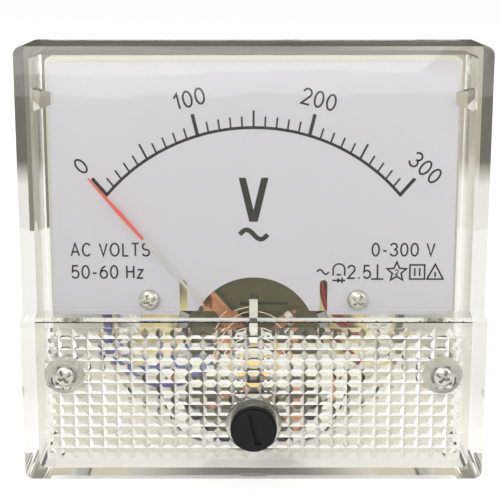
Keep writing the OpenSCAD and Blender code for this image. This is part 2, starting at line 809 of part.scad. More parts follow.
// Outline of the movement's frame about the pivot, grown by a gap
module frame_outline(gap) {
    r = frame_r + gap;
    bottom = frame_bottom + gap;
    ear_r = frame_ear_r + gap;
    intersection() {
        circle(r);
        translate([-r, -bottom]) square([2 * r, r + bottom]);
    }
    translate([0, frame_screw_rise]) square([2 * frame_screw_x, 2 * ear_r], center = true);
    both_sides(frame_screw_x) translate([0, frame_screw_rise]) circle(ear_r);
    both_sides(dial_screw_x) translate([0, dial_screw_rise]) circle(pillar_r + pillar_edge + gap);
}

// Yellow-passivated plate that carries the yoke, the bridges and the dial, with two stops for the coil
module movement_frame() {
    stop_angle = 60;
    color([0.66, 0.6, 0.28]) difference() {
        union() {
            translate([0, 0, pivot_z]) along_y(frame_y, core_y) {
                difference() {
                    frame_outline(0);
                    circle(frame_hole_r);
                }
                for (s = [-1, 1]) {
                    rotate(s * stop_angle) translate([-0.5, coil_out_r - 0.6])
                        square([1, frame_hole_r - coil_out_r + 1.2]);
                }
            }
            both_sides(dial_screw_x) rod(pillar_r, dial_back_y, core_y, 0, pivot_z + dial_screw_rise);
        }
        both_sides(dial_screw_x)
            rod(dial_screw_r + press_gap, dial_back_y - 1, core_y + 1, 0, pivot_z + dial_screw_rise);
        both_sides(frame_screw_x)
            rod(frame_screw_r + slide_gap, frame_y - 1, core_y + 1, 0, pivot_z + frame_screw_rise);
        both_sides(bridge_screw_x) rod(bridge_screw_r + press_gap, frame_y - 1, core_y + 1, 0, pivot_z);
    }
}

module frame_screws() {
    color("silver") both_sides(frame_screw_x) translate([0, 0, pivot_z + frame_screw_rise])
        pan_screw(frame_screw_head_r, frame_screw_head_t, frame_screw_r - press_gap, frame_y,
            core_y + frame_screw_len, 0.5);
}

// Film resistor across the diodes, on two legs bent back to the board
module series_resistor() {
    end = resistor_len / 2;
    cap = 1.6;
    waist_r = resistor_r - 0.25;
    color([0.3, 0.35, 0.62]) translate([0, resistor_y, terminal_z]) {
        rotate([0, 90, 0]) rotate_extrude() polygon([[0, -end], [resistor_r, -end], [resistor_r, cap - end],
            [waist_r, cap + 0.4 - end], [waist_r, end - cap - 0.4], [resistor_r, end - cap],
            [resistor_r, end], [0, end]]);
        rotate([0, 90, 0]) cylinder(r = lead_r, h = resistor_len + 2 * leg_out, center = true);
        both_sides(end + leg_out) {
            sphere(lead_r);
            rod(lead_r, 0, board_y - resistor_y);
        }
    }
}

module rectifier_board() {
    color([0.2, 0.42, 0.25]) along_y(board_y, board_y + board_t) difference() {
        translate([0, terminal_z]) rounded(board_w, board_h, 1.5);
        both_sides(terminal_pitch / 2) translate([0, terminal_z]) circle(terminal_d / 2 + shaft_gap);
    }
}

// Four axial diodes standing off the board on their legs
module rectifier_diodes() {
    centre_y = board_y - diode_standoff - diode_r;
    color([0.1, 0.1, 0.1]) for (x = [-diode_x, diode_x], z = [-diode_z, diode_z]) {
        translate([x, centre_y, terminal_z + z]) {
            rotate([0, 90, 0]) cylinder(r = diode_r, h = diode_len, center = true);
            rotate([0, 90, 0]) cylinder(r = lead_r, h = diode_len + 2 * leg_out, center = true);
            both_sides(diode_len / 2 + leg_out) rod(lead_r, 0, board_y - centre_y);
        }
    }
}

module board_nuts() {
    color("gold") both_sides(terminal_pitch / 2) difference() {
        hex(terminal_d * 0.95, board_y - board_nut_t, board_y, 0, terminal_z);
        rod(terminal_d / 2 + press_gap, board_y - board_nut_t - 1, board_y + 1, 0, terminal_z);
    }
}

module blue_lead() {
    color([0.25, 0.28, 0.7]) wire(blue_route, wire_r);
}

module red_lead() {
    color([0.6, 0.12, 0.1]) wire(red_route, wire_r);
}

module terminal_studs() {
    color("goldenrod") both_sides(terminal_pitch / 2) {
        rod(terminal_d / 2, board_y - board_nut_t - 0.5, back_y + terminal_len, 0, terminal_z);
        hex(terminal_d * 0.95, board_y + board_t, back_in_y, 0, terminal_z);
    }
}

module terminal_nut_pair(y) {
    both_sides(terminal_pitch / 2) difference() {
        hex(terminal_d * 1.02, y, y + nut_t, 0, terminal_z);
        rod(terminal_d / 2 + press_gap, y - 1, y + nut_t + 1, 0, terminal_z);
    }
}

module terminal_clamp_nuts() {
    color("goldenrod") terminal_nut_pair(clamp_nut_y);
}

module terminal_washers() {
    first = clamp_nut_y + nut_t;
    color("gold") both_sides(terminal_pitch / 2) for (y = [first, first + washer_t + lug_t]) {
        ring(terminal_d / 2 + bore_gap, terminal_d * 1.1, y, y + washer_t, 0, terminal_z);
    }
}

// Solder tags: a ring round the stud with a tongue pointing up
module terminal_lugs() {
    y = clamp_nut_y + nut_t + washer_t;
    color("silver") along_y(y, y + lug_t)
        both_sides(terminal_pitch / 2) translate([0, terminal_z]) difference() {
            union() {
                circle(terminal_d);
                translate([-tongue_w / 2, 0]) square([tongue_w, tongue_len]);
                translate([0, tongue_len]) circle(tongue_w / 2);
            }
            circle(terminal_d / 2 + bore_gap);
            translate([0, tongue_len - tongue_hole_r / 2]) circle(tongue_hole_r);
        }
}

module terminal_nuts() {
    color("goldenrod") terminal_nut_pair(clamp_nut_y + nut_t + 2 * washer_t + lug_t);
}

module mounting_studs() {
    color("silver") mounting_stud_places() stud_body(0);
}

front_cover();
cover_screws();
zero_adjuster();
adjuster_clip();
base();
dial_plate();
dial_screws();
pointer();
moving_coil();
coil_former();
pivot_staffs();
balance_weights();
front_hairspring();
rear_hairspring();
zero_lever();
front_bridge();
rear_bridge();
front_jewel_screw();
rear_jewel_screw();
jewel_locknuts();
bridge_screws();
core_magnet();
core_supports();
yoke_ring();
movement_frame();
frame_screws();
series_resistor();
rectifier_board();
rectifier_diodes();
board_nuts();
blue_lead();
red_lead();
terminal_studs();
terminal_clamp_nuts();
terminal_washers();
terminal_lugs();
terminal_nuts();
mounting_studs();
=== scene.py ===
"""Dresses the panel voltmeter: cover, dial print, screws, threads, leads, finishes, light and camera."""
import json
import math

import bmesh
import bpy
import numpy as np
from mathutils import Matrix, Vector


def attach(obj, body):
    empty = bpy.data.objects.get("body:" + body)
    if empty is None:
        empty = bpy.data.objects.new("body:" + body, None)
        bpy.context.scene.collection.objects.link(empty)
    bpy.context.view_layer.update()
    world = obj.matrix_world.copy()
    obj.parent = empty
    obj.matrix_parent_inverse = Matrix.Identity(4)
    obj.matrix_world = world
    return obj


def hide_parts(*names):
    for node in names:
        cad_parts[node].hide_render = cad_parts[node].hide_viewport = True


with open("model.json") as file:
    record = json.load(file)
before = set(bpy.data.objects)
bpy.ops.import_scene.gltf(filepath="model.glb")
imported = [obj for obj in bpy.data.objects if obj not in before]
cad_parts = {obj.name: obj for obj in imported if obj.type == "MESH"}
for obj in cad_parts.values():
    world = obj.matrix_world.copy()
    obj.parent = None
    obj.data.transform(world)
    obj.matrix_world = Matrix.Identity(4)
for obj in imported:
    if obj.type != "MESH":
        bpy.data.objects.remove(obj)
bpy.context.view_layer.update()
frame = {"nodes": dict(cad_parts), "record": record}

MM = 0.001
TURN = 2 * math.pi

# Places on the meter, in millimetres: X to the right, Y to the back, Z up from the barrel's axis
FACE_Z = 4.0
DIAL_Y = -6.0
PIVOT_Z = -11.0
ZERO_ANGLE = math.radians(41)
ROOT_REACH = 11.0
BLADE_REACH = 23.6
FLOOR_Z = -26.04

# Screws in front: distance from the middle, then the values that pan_head takes
COVER_SCREW_X = 26.2
COVER_SCREW = {"z": -11.2, "seat": -14.7, "radius": 1.65, "height": 1.2, "shank_r": 1.25, "tip": -0.5}
DIAL_SCREW_X = 14.9
DIAL_SCREW = {"z": -2.5, "seat": DIAL_Y, "radius": 1.5, "height": 0.9, "shank_r": 0.75, "tip": 0.1}

# Studs and terminals at the back, with the values that thread, plain_rod and hexagon_nut take
STUD_PLACES = [(x, z) for x in (-26.5, 26.5) for z in (29, -21)]
STUD_THREAD = {"start": 0, "end": 14, "radius": 1.5, "pitch": 0.5, "depth": 0.28}
STUD_HEAD = {"start": -2, "end": 0, "radius": 2.2}
TERMINAL_X = 13.0
TERMINAL_Z = -1.0
TERMINAL_THREAD = {"start": 19, "end": 40.5, "radius": 2.0, "pitch": 0.7, "depth": 0.36}
TERMINAL_HEAD = {"start": 22.5, "end": 24.5, "corner": 3.8, "bore": 1.5}
NUT_BORE = 2.03

# Nuts on the terminals: name, the node replaced, start and end along Y, radius to the corners
NUT_SETS = [("clamp_nut_set", "terminal_clamp_nuts", 28.2, 30.6, 4.08),
            ("terminal_nut_set", "terminal_nuts", 32.4, 34.8, 4.08),
            ("board_nut_set", "board_nuts", 19.5, 21.3, 3.8)]

# Prism field inside the cover's lower band: its middle, size and cells, and the pits that show in them
FIELD_Y = -14.0
FIELD_Z = -14.0
FIELD_SIZE = (58.0, 19.2)
CELL_SIZE = (2.0, 1.6)
CELL_BEVEL = 0.35
PRISM_H = 0.25
PIT_FLOOR = (0.5, 0.25)
PIT_DEPTH = 0.36

# Wedge lugs that hold the dial: reach and half height of tip and root, then where their points are looked for
LUG_ENDS = ((27.7, 0.7), (30.15, 1.5))
LUG_Y = (-9.3, -6.2)
LUG_Z = 26.4
LUG_HALF = 1.4

# Dial print, on the face: X to the right, Z up from the face's centre
INK_T = 0.02
ARC_CENTRE = np.array([0, -8.88])
ARC_R = 27.15
DIAL_PIVOT = np.array([0, -15.0])

# Routes and radius of the two insulated leads
BLUE_ROUTE = [(-8, 20.9, -1), (-10.5, 17.5, 1.2), (-14.5, 12, 3.5), (-17.6, 5, 3.2), (-19.6, -0.5, 0.8),
              (-20.9, -4, -3.2), (-20.9, -4.7, -6.6), (-19.4, -5.9, -9.4), (-17, -6.9, -11.4),
              (-14, -7.4, -12.5), (-11, -7.5, -12.4), (-8, -7, -11), (-5.8, -6.2, -9.6)]
RED_ROUTE = [(8, 20.9, 3), (10, 17.5, 4.4), (13.5, 12, 6), (15.4, 5, 6.4), (14.6, -0.5, 5.6),
             (12, -3.6, 4.4), (9.9, -4.45, 2.4), (9.85, -4.45, 0), (10.25, -4.45, -2.6),
             (11.3, -4.2, -5.2), (13.6, -3.2, -7.4), (15.8, -1.8, -9.3)]
LEAD_R = 0.5

# Camera, in metres: where it stands and what it looks at; its focal length in millimetres
EYE_PLACE = (-0.0005, -0.1951, 0.0471)
EYE_TARGET = (-0.0005, 0, 0.0033)
FOCAL_LENGTH = 97.85

# Stage cards that only glass and polish see, painting reflections: depth and half width of the one behind,
# half width and depths of the one before
CARD_BEHIND_Y = 158
CARD_BEHIND_HALF = 500
CARD_BEFORE_HALF = 300
CARD_BEFORE_Y = (-500, -90)


class Tone:
    """A value in a finish. Sums and products of tones add Math nodes to that finish."""

    def __init__(self, finish, socket):
        self.finish = finish
        self.socket = socket

    def math(self, operation, first, second=0.0):
        return self.finish.node("Math", {"operation": operation}, {0: first, 1: second})

    def __add__(self, other):
        return self.math("ADD", self, other)

    def __sub__(self, other):
        return self.math("SUBTRACT", self, other)

    def __rsub__(self, other):
        return self.math("SUBTRACT", other, self)

    def __mul__(self, other):
        return self.math("MULTIPLY", self, other)

    def __gt__(self, other):
        return self.math("GREATER_THAN", self, other)

    def __lt__(self, other):
        return self.math("LESS_THAN", self, other)

    def __abs__(self):
        return self.math("ABSOLUTE", self)

    __radd__ = __add__
    __rmul__ = __mul__

    def wave(self):
        return self.math("SINE", self)

    def most(self, other):
        return self.math("MAXIMUM", self, other)


class Finish:
    """One procedural material, built on the piece's own coordinates, or a given tree such as the world's."""

    def __init__(self, name, tree=None):
        if tree is None:
            self.material = bpy.data.materials.new(name)
            self.material.use_nodes = True
            tree = self.material.node_tree
        self.tree = tree
        self.tree.nodes.clear()

    def node(self, kind, settings=None, inputs=None, out=0):
        made = self.tree.nodes.new("ShaderNode" + kind)
        for key, value in (settings or {}).items():
            if key == "stops":
                fill_ramp(made.color_ramp, value)
            else:
                setattr(made, key, value)
        for key, value in (inputs or {}).items():
            if isinstance(value, Tone):
                self.tree.links.new(value.socket, made.inputs[key])
            else:
                made.inputs[key].default_value = value
        return Tone(self, made.outputs[out]) if len(made.outputs) else None

    def place(self):
        return self.node("TexCoord", out="Object")

    def ray(self, kind):
        return self.node("LightPath", out=kind)

    def seen(self):
        """1 for rays from the eye, straight or by way of mirrors and glass, and 0 for light on surfaces."""
        mirrored = self.ray("Is Glossy Ray").most(self.ray("Is Transmission Ray"))
        seen = self.ray("Is Camera Ray").most(mirrored)
        return seen * (self.ray("Diffuse Depth") < 0.5)

    def stretched(self, per_mm):
        """The piece's coordinates times one number per millimetre on each axis."""
        scale = tuple(s / MM for s in per_mm)
        return self.node("VectorMath", {"operation": "MULTIPLY"}, {0: self.place(), 1: scale})

    def noise(self, per_mm, detail=2.0, roughness=0.5):
        per_mm = per_mm if hasattr(per_mm, "__len__") else (per_mm,) * 3
        return self.node("TexNoise", {}, {"Vector": self.stretched(per_mm), "Scale": 1.0, "Detail": detail,
                                          "Roughness": roughness}, "Fac")

    def along(self, direction, origin=(0, 0, 0)):
        """Distance in millimetres from origin along a direction."""
        start = tuple(MM * o for o in origin)
        moved = self.node("VectorMath", {"operation": "SUBTRACT"}, {0: self.place(), 1: start})
        scaled = tuple(d / MM for d in direction)
        return self.node("VectorMath", {"operation": "DOT_PRODUCT"}, {0: moved, 1: scaled}, "Value")

    def ramp(self, value, stops):
        return self.node("ValToRGB", {"stops": stops}, {0: value}, "Color")

    def blend(self, share, first, second):
        return self.node("Mix", {"data_type": "RGBA"}, {0: share, 6: first, 7: second}, 2)

    def surface(self, colour, roughness, metallic=0.0, height=None, depth=0.0, **fixed):
        """A Principled surface. height is a 0 to 1 relief, depth its reach in millimetres."""
        inputs = {"Base Color": colour, "Roughness": roughness, "Metallic": metallic}
        if height is not None:
            relief = {"Strength": 1.0, "Distance": depth * MM, "Height": height}
            inputs["Normal"] = self.node("Bump", {}, relief, "Normal")
        for key, value in fixed.items():
            inputs[key.replace("_", " ")] = value
        return self.node("BsdfPrincipled", {}, inputs, "BSDF")

    def show(self, shader):
        self.node("OutputMaterial", {}, {"Surface": shader})
        return self.material


def fill_ramp(ramp, stops):
    ramp.elements[0].position, ramp.elements[0].color = stops[0]
    ramp.elements[-1].position, ramp.elements[-1].color = stops[-1]
    for position, colour in stops[1:-1]:
        ramp.elements.new(position).color = colour


def grey(v):
    return (v, v, v, 1)


def clear_moulding():
    """Clear moulded styrene: bends light, lets the lamps through to the dial."""
    f = Finish("clear_moulding")
    glass = f.surface((0.96, 0.953, 0.915, 1), 0.015, height=f.noise(0.1, 1), depth=0.02,
                      Transmission_Weight=1.0, IOR=1.5)
    through = f.node("BsdfTransparent", {}, {"Color": (0.99, 0.99, 0.985, 1)})
    return f.show(f.node("MixShader", {}, {0: f.ray("Is Shadow Ray"), 1: glass, 2: through}))


def moulded(name, dark, light, grain=6.0, roughness=0.38, shine=0.5):
    """Satin moulded plastic: a slow drift of colour, fine spark-eroded grain."""
    f = Finish(name)
    texture = f.noise(grain, 2)
    colour = f.blend(f.noise(0.08, 3), dark, light)
    return f.show(f.surface(colour, roughness + 0.15 * (texture - 0.5), height=texture, depth=0.012,
                            Specular_IOR_Level=shine))


def enamel(name, base, shade):
    """Stoved paint on sheet: faint orange peel and dust."""
    f = Finish(name)
    peel = f.noise(1.6, 2)
    specks = f.noise(2.4, 3) > 0.74
    colour = f.blend(f.noise(0.05, 2), base, shade)
    colour = f.blend(0.12 * specks, colour, grey(0.45))
    return f.show(f.surface(colour, 0.45 + 0.1 * (peel - 0.5), height=peel, depth=0.006))


def metal(name, base, shade, roughness=0.28, stretch=(1.2, 1.2, 9.0)):
    """Drawn or plated metal: streaks along the drawing direction, patches of duller plating."""
    f = Finish(name)
    streak = f.noise(stretch, 3)
    patch = f.noise(0.45, 3)
    colour = f.blend(patch, base, shade)
    rough = roughness + 0.15 * (streak - 0.5) + 0.12 * (patch - 0.5)
    return f.show(f.surface(colour, rough, 1.0, streak, 0.006))


def sintered(name, dark, light):
    """Ground sintered magnet: close grain over slow patches, dull with a few bright points."""
    f = Finish(name)
    grain = f.noise(7.0, 4, 0.7)
    patch = f.noise(0.3, 2)
    colour = f.blend(1.6 * (grain - 0.2), dark, light)
    colour = f.blend(0.35 * patch, colour, dark)
    return f.show(f.surface(colour, 0.55 - 0.2 * (grain - 0.5), 0.3, grain, 0.015))


def passivated(name):
    """Yellow-passivated zinc: gold drifting to olive and a pink sheen, over fine rolling lines."""
    f = Finish(name)
    cloud = f.noise(0.22, 4, 0.6)
    tint = f.ramp(cloud, [(0.3, (0.44, 0.41, 0.20, 1)), (0.46, (0.60, 0.53, 0.26, 1)),
                          (0.58, (0.70, 0.63, 0.36, 1)), (0.72, (0.64, 0.51, 0.36, 1))])
    lines = f.noise((9.0, 0.8, 0.8), 2)
    return f.show(f.surface(tint, 0.34 + 0.2 * (lines - 0.5), 0.85, lines, 0.005))


def pointer_paint():
    """Pointer: bare bronze root and balance cross, warm white stem, signal-red blade."""
    f = Finish("pointer_paint")
    reach = f.along((-math.sin(ZERO_ANGLE), 0, math.cos(ZERO_ANGLE)), (0, 0, PIVOT_Z))
    fleck = f.noise(3.0, 2)
    red = f.blend(fleck, (0.90, 0.085, 0.035, 1), (0.97, 0.14, 0.07, 1))
    white = f.blend(fleck, (0.66, 0.64, 0.60, 1), (0.74, 0.72, 0.68, 1))
    bronze = f.blend(fleck, (0.48, 0.21, 0.09, 1), (0.66, 0.30, 0.13, 1))
    painted = reach > ROOT_REACH
    colour = f.blend(painted, bronze, f.blend(reach > BLADE_REACH, white, red))
    return f.show(f.surface(colour, 0.42 + 0.1 * (fleck - 0.5), 0.6 - 0.6 * painted, fleck, 0.006))


def winding():
    """Enamelled copper wire laid side by side: a ridge for each turn across the coil's width, with painted
    shade in the grooves and a painted highlight on the crests.
    """
    f = Finish("copper_winding")
    across = f.along((math.cos(ZERO_ANGLE), 0, math.sin(ZERO_ANGLE)), (0, 0, PIVOT_Z))
    wire_pitch = 0.16
    ridge = 0.5 + 0.5 * (across * (TURN / wire_pitch)).wave()
    patch = f.noise(1.4, 3)
    # Painted shade and highlight: the copper is darker down each groove between turns and lighter on each
    # crest.
    colour = f.blend(ridge, (0.42, 0.15, 0.05, 1), (0.84, 0.38, 0.15, 1))
    colour = f.blend(0.35 * patch, colour, (0.85, 0.45, 0.22, 1))
    return f.show(f.surface(colour, 0.3 + 0.2 * (patch - 0.5), 0.7, ridge, 0.03, Coat_Weight=0.3))


def film_resistor():
    """Lacquered resistor body with five colour bands round it and tinned ends."""
    f = Finish("film_resistor")
    place = f.along((1, 0, 0))
    band_half, body_half = 0.32, 4.21
    fleck = f.noise(4.0, 2)
    colour = f.blend(fleck, (0.10, 0.16, 0.42, 1), (0.16, 0.24, 0.55, 1))
    for centre, band in ((-2.9, (0.55, 0.02, 0.02, 1)), (-1.4, (0.35, 0.06, 0.45, 1)), (-0.3, grey(0.02)),
                         (0.8, (0.5, 0.18, 0.02, 1)), (2.7, (0.22, 0.09, 0.03, 1))):
        colour = f.blend(abs(place - centre) < band_half, colour, band)
    tinned_end = abs(place) > body_half
    colour = f.blend(tinned_end, colour, grey(0.75))
    return f.show(f.surface(colour, 0.3 + 0.1 * (fleck - 0.5), tinned_end, fleck, 0.01))


def laminate():
    """Green lacquered circuit board with a weave showing faintly."""
    f = Finish("board_green")
    weave = (f.along((1, 0, 0)) * 9.0).wave() * (f.along((0, 0, 1)) * 9.0).wave()
    colour = f.blend(0.5 + 0.3 * weave, (0.02, 0.10, 0.045, 1), (0.04, 0.17, 0.07, 1))
    return f.show(f.surface(colour, 0.32, height=weave, depth=0.004))


def dial_ink(name, dark, light):
    """Matt screen-printed ink, a little uneven."""
    f = Finish(name)
    fleck = f.noise(5.0, 2)
    colour = f.blend(fleck, dark, light)
    rough = 0.6 + 0.2 * (fleck - 0.5)
    return f.show(f.surface(colour, rough, height=fleck, depth=0.002, Specular_IOR_Level=0.15))


def skin(grid, round_u=False, round_v=False, caps=False):
    """Vertices and quads of a grid of points (u, v, 3). Either way may close; caps close both u ends."""
    nu, nv = grid.shape[:2]
    at = np.arange(nu * nv).reshape(nu, nv)
    if round_u:
        at = np.concatenate([at, at[:1]], 0)
    if round_v:
        at = np.concatenate([at, at[:, :1]], 1)
    quads = np.stack([at[:-1, :-1], at[1:, :-1], at[1:, 1:], at[:-1, 1:]], -1).reshape(-1, 4)
    faces = quads.tolist()
    if caps:
        faces += [list(range(nv)), list(range(nu * nv - 1, (nu - 1) * nv - 1, -1))]
    return grid.reshape(-1, 3), faces


def piece(name, parts, material, body, smooth=False, replaced=(), crease=35):
    """One named piece from several skins, given in millimetres, riding on a body."""
    points, faces, start = [], [], 0
    for vertices, polygons in parts:
        points.append(vertices)
        faces += [[i + start for i in polygon] for polygon in polygons]
        start += len(vertices)
    mesh = bpy.data.meshes.new(name)
    mesh.from_pydata((np.concatenate(points) * MM).tolist(), [], faces)
    mesh.validate()
    face_out(mesh, smooth, crease)
    mesh.materials.append(material)
    made = bpy.data.objects.new(name, mesh)
    bpy.context.scene.collection.objects.link(made)
    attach(made, body)
    if replaced:
        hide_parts(*replaced)
    return made


def face_out(mesh, smooth, crease):
    """Merges equal points, turns faces outwards and shades smooth where the bend is under crease degrees."""
    work = bmesh.new()
    work.from_mesh(mesh)
    bmesh.ops.remove_doubles(work, verts=work.verts, dist=1e-8)
    bmesh.ops.recalc_face_normals(work, faces=work.faces)
    work.to_mesh(mesh)
    work.free()
    if smooth:
        mesh.shade_smooth()
        mesh.set_sharp_from_angle(angle=math.radians(crease))


def on_dial(points, y):
    """Points (x, z) of the dial print, set at a depth."""
    return np.stack([points[:, 0], np.full(len(points), y), points[:, 1] + FACE_Z], 1)


def stroke(path, width, closed=False):
    """Ink stroke: a flat bar carried along a path of (x, z) points, mitred where the path bends."""
    path = np.asarray(path, float)
    if closed:
        path = path[:-1]
        steps = np.roll(path, -1, 0) - path
        steps /= np.linalg.norm(steps, axis=1)[:, None]
        before, after = np.roll(steps, 1, 0), steps
    else:
        steps = np.diff(path, axis=0)
        steps /= np.linalg.norm(steps, axis=1)[:, None]
        before, after = np.concatenate([steps[:1], steps]), np.concatenate([steps, steps[-1:]])
    ahead = before + after
    ahead /= np.linalg.norm(ahead, axis=1)[:, None]
    mitre = 1 / np.maximum((ahead * after).sum(1), 0.4)
    side = np.stack([-ahead[:, 1], ahead[:, 0]], 1) * (mitre * width / 2)[:, None]
    left, right = path + side, path - side
    front, back = DIAL_Y - INK_T, DIAL_Y + INK_T
    rails = [on_dial(left, front), on_dial(right, front), on_dial(right, back), on_dial(left, back)]
    return skin(np.stack(rails, 1), round_u=closed, round_v=True, caps=not closed)


def printed_area(outline):
    """Ink area inside a closed outline of (x, z) points."""
    outline = np.asarray(outline, float)
    front, back = on_dial(outline, DIAL_Y - INK_T), on_dial(outline, DIAL_Y + INK_T)
    return skin(np.stack([front, back]), round_v=True, caps=True)


def bow(x, z, rx, rz, start, end, count=16):
    """Part of an ellipse about (x, z), angles in degrees from upright, clockwise."""
    a = np.radians(np.linspace(start, end, count))
    return np.stack([x + rx * np.sin(a), z + rz * np.cos(a)], 1)


def drawn(*parts):
    """One path from several stretches of points."""
    return np.concatenate([np.asarray(p, float).reshape(-1, 2) for p in parts])


# Narrow drawing-office letters: width and pen paths, for a height of one
LETTERS = {
    "0": (0.54, [bow(0.27, 0.5, 0.27, 0.5, 0, 360, 33)]),
    "1": (0.30, [[(0.0, 0.74), (0.24, 1.0), (0.24, 0.0)]]),
    "2": (0.52, [drawn(bow(0.26, 0.72, 0.26, 0.28, -80, 120), (0.0, 0.0), (0.54, 0.0))]),
    "3": (0.54, [bow(0.26, 0.75, 0.25, 0.25, -75, 180), bow(0.26, 0.26, 0.28, 0.26, 0, 255)]),
    "5": (0.54, [drawn((0.49, 1.0), (0.09, 1.0), (0.05, 0.50), bow(0.27, 0.31, 0.27, 0.31, -35, 245))]),
    "6": (0.54, [bow(0.27, 0.31, 0.27, 0.31, 0, 360, 33), bow(0.56, 0.31, 0.56, 0.69, -90, -15)]),
    ".": (0.10, [[(0.05, -0.05), (0.05, 0.07)]]),
    "-": (0.34, [[(0.02, 0.40), (0.32, 0.40)]]),
    "A": (0.62, [[(0.0, 0.0), (0.31, 1.0), (0.62, 0.0)], [(0.1, 0.33), (0.52, 0.33)]]),
    "C": (0.62, [bow(0.33, 0.5, 0.33, 0.5, 48, -228, 28)]),
    "H": (0.58, [[(0.02, 0.0), (0.02, 1.0)], [(0.56, 0.0), (0.56, 1.0)], [(0.02, 0.52), (0.56, 0.52)]]),
    "L": (0.46, [[(0.04, 1.0), (0.04, 0.0), (0.46, 0.0)]]),
    "O": (0.66, [bow(0.33, 0.5, 0.33, 0.5, 0, 360, 33)]),
    "S": (0.54, [drawn(bow(0.27, 0.745, 0.25, 0.255, 70, -165), bow(0.27, 0.26, 0.27, 0.26, 15, 250))]),
    "T": (0.56, [[(0.0, 1.0), (0.56, 1.0)], [(0.28, 1.0), (0.28, 0.0)]]),
    "V": (0.58, [[(0.0, 1.0), (0.29, 0.0), (0.58, 1.0)]]),
    "z": (0.42, [[(0.0, 0.68), (0.42, 0.68), (0.0, 0.0), (0.44, 0.0)]]),
    " ": (0.16, []),
}
LETTER_GAP = 0.28


def lettering(text, height, place, width, turn=0.0, start=False):
    """Words in one pen width: height between pen centres, middle or start of the line, turn clockwise."""
    advance = np.cumsum([0.0] + [LETTERS[c][0] + LETTER_GAP for c in text])
    middle = 0.0 if start else (advance[-1] - LETTER_GAP) / 2
    a = math.radians(turn)
    spin = np.array([[math.cos(a), -math.sin(a)], [math.sin(a), math.cos(a)]])
    paths = [np.asarray(p, float) + (x - middle, -0.5) for c, x in zip(text, advance) for p in LETTERS[c][1]]
    return [stroke(np.asarray(place) + height * p @ spin, width, np.allclose(p[0], p[-1])) for p in paths]


def scale_mark(degrees, length, width):
    """Tick on a ray from the pivot, from the scale's arc outwards."""
    a = math.radians(degrees)
    ray = np.array([math.sin(a), math.cos(a)])
    rel = DIAL_PIVOT - ARC_CENTRE
    reach = -ray @ rel + math.sqrt((ray @ rel) ** 2 - rel @ rel + ARC_R ** 2)
    return stroke([DIAL_PIVOT + ray * (reach - 0.1), DIAL_PIVOT + ray * (reach + length)], width)


def dial_scale(ink):
    """Arc, thirty-one ticks and the four numerals."""
    marks = [stroke(bow(*ARC_CENTRE, ARC_R, ARC_R, -49.9, 49.9, 120), 0.42)]
    for i in range(31):
        length, width = (3.1, 0.5) if i % 10 == 0 else (2.4, 0.3) if i % 5 == 0 else (1.6, 0.25)
        marks.append(scale_mark(-41 + 82 * i / 30, length, width))
    piece("scale_marks", marks, ink, "case")
    numerals = [("0", (-24.2, 12.85), -41), ("100", (-8.95, 22.3), -14), ("200", (9.1, 22.2), 14),
                ("300", (24.1, 12.6), 41)]
    words = [part for text, place, turn in numerals for part in lettering(text, 2.15, place, 0.28, turn)]
    piece("scale_numerals", words, ink, "case")


def sine_mark(x, z, half_w, half_h, width):
    """Alternating-current sign: one period of a sine, rising first."""
    t = np.linspace(-1, 1, 41)
    return stroke(np.stack([x + half_w * t, z - half_h * np.sin(math.pi * t)], 1), width)


def unit_marks(ink):
    """Large V with cut ends over the alternating-current sign."""
    top, foot, out, arm, heel = 11.2, 4.9, 2.1, 1.0, 0.6
    crotch = top - (out - arm) * (top - foot) / (out - heel)
    letter = printed_area([(-out, top), (-heel, foot), (heel, foot), (out, top), (out - arm, top),
                           (0, crotch), (arm - out, top)])
    piece("unit_marks", [letter, sine_mark(0.02, 3.05, 2.0, 0.68, 0.68)], ink, "case")


def class_symbols(ink):
    """Row of standard instrument symbols, the range above it, and plain words at the left."""
    z, low, high, w = -2.4, -3.45, -1.38, 0.24
    arch = drawn((11.35, z - 0.55), bow(12.18, z + 0.35, 0.83, 0.83, -90, 90), (13.01, z - 0.55))
    tips, notches = bow(20.42, z, 1.45, 1.45, 0, 288, 5), bow(20.42, z, 0.66, 0.66, 36, 324, 5)
    star = np.stack([tips, notches], 1).reshape(-1, 2)
    square = [(22.3, low), (24.4, low), (24.4, high), (22.3, high), (22.3, low)]
    triangle = [(24.75, low), (27.05, low), (25.9, high + 0.1), (24.75, low)]
    bars = [[(11.85, z - 0.42), (12.5, z - 0.42)], [(11.25, z - 1.25), (13.1, z - 1.25)],
            [(12.65, z - 0.85), (12.65, z - 1.65)], [(16.8, low), (18.55, low)],
            [(17.68, low), (17.68, high + 0.1)], [(23.0, z - 0.62), (23.0, z + 0.56)],
            [(23.7, z - 0.62), (23.7, z + 0.56)], [(25.9, z - 0.75), (25.9, z)]]
    parts = [sine_mark(9.9, z, 0.85, 0.34, w), stroke(arch, w), stroke(drawn(star, star[:1]), w, True),
             stroke(square, w, True), stroke(triangle, w, True)]
    parts += [stroke(bar, w) for bar in bars]
    parts.append(printed_area([(11.95, z - 0.88), (12.65, z - 1.25), (11.95, z - 1.62)]))
    parts += lettering("2.5", 1.85, (15.07, z), 0.25) + lettering("2", 0.75, (20.42, z - 0.05), 0.15)
    parts += lettering("0-300 V", 1.8, (21.3, 0.85), 0.25)
    parts += lettering("AC VOLTS", 1.8, (-25.9, 0.85), 0.25, start=True)
    parts += lettering("50-60 Hz", 1.8, (-25.9, z), 0.25, start=True)
    piece("dial_symbols", parts, ink, "case")


def turned(x, z, radii, depths, around=48):
    """A profile of radii at depths turned about an axis along Y."""
    a = np.linspace(0, TURN, around, endpoint=False)
    r, y = np.asarray(radii, float)[:, None], np.asarray(depths, float)[:, None]
    return np.stack([x + r * np.cos(a), y + 0 * a, z + r * np.sin(a)], -1)


